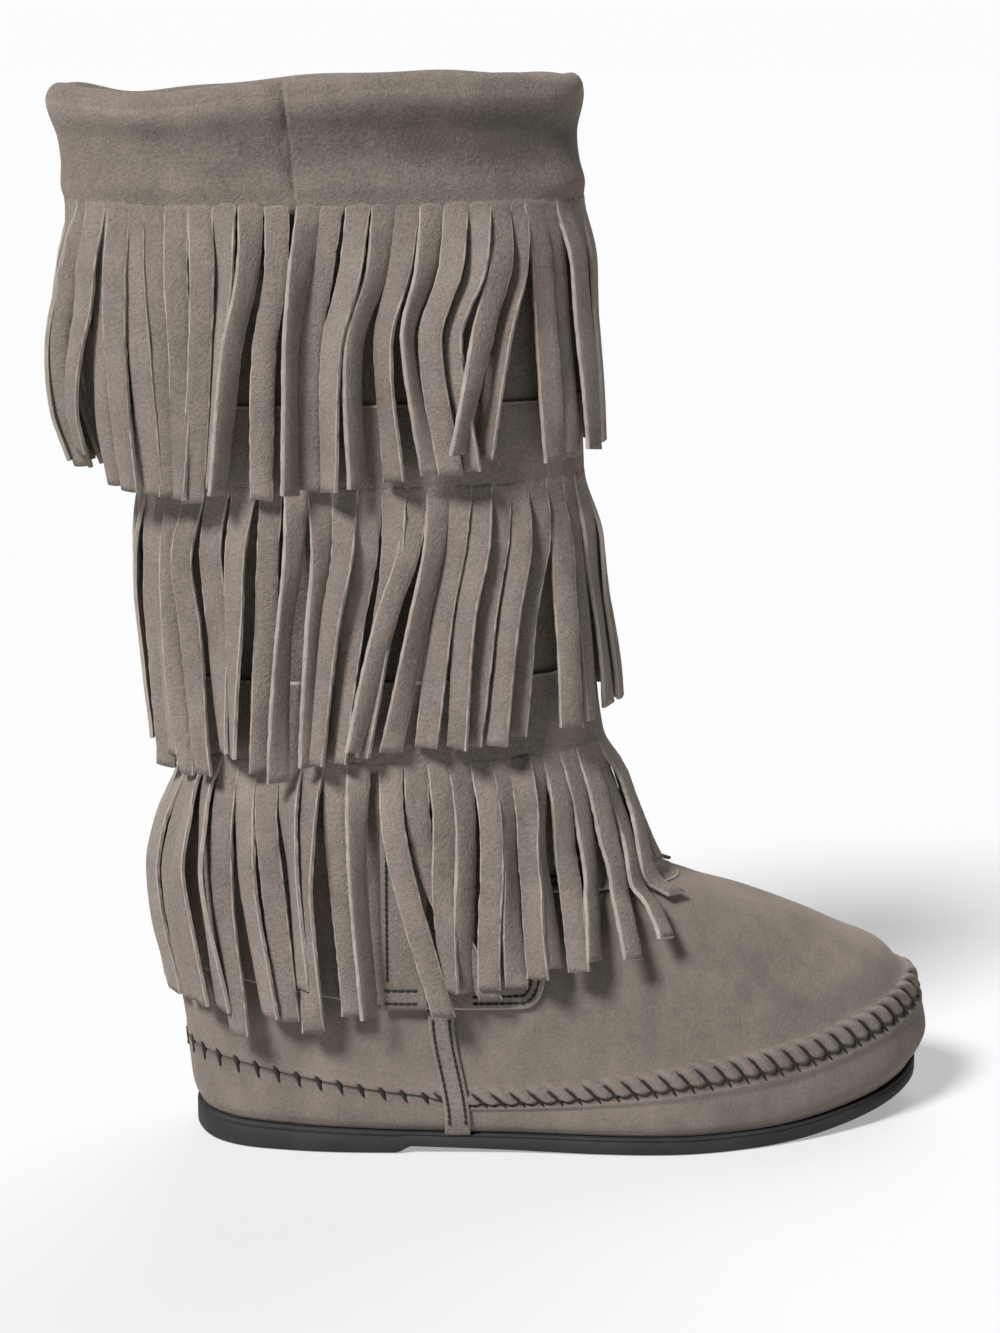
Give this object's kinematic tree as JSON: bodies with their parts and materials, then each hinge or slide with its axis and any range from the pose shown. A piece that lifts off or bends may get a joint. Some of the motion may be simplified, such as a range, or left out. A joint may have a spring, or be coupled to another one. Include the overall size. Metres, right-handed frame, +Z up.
{
  "type": "moccasin boot",
  "caption": "A grey-taupe suede moccasin boot, calf high, with a folded cuff, rows of cut fringe, a puckered toe seam and a thin black rubber sole.",
  "frame": {"origin": "on the floor under the middle of the heel", "axes": "+X towards the toe, +Y towards the inner side of the foot, +Z up"},
  "size_m": [0.2956, 0.0939, 0.3551],
  "materials": {
    "suede": "matte suede with a short nap",
    "fringe_suede": "matte suede, cut edges lighter",
    "sole_rubber": "dull black rubber",
    "lining_leather": "smooth matte lining leather"
  },
  "bodies": {
    "root": {"outsole": "sole_rubber", "insole": "lining_leather", "foot_upper": "suede", "shaft": "suede", "strap_outer": "fringe_suede", "strap_inner": "fringe_suede", "side_strip_outer": "fringe_suede", "side_strip_inner": "fringe_suede", "cuff_fringe": "fringe_suede", "middle_fringe": "fringe_suede", "lower_fringe": "fringe_suede"}
  },
  "joints": []
}
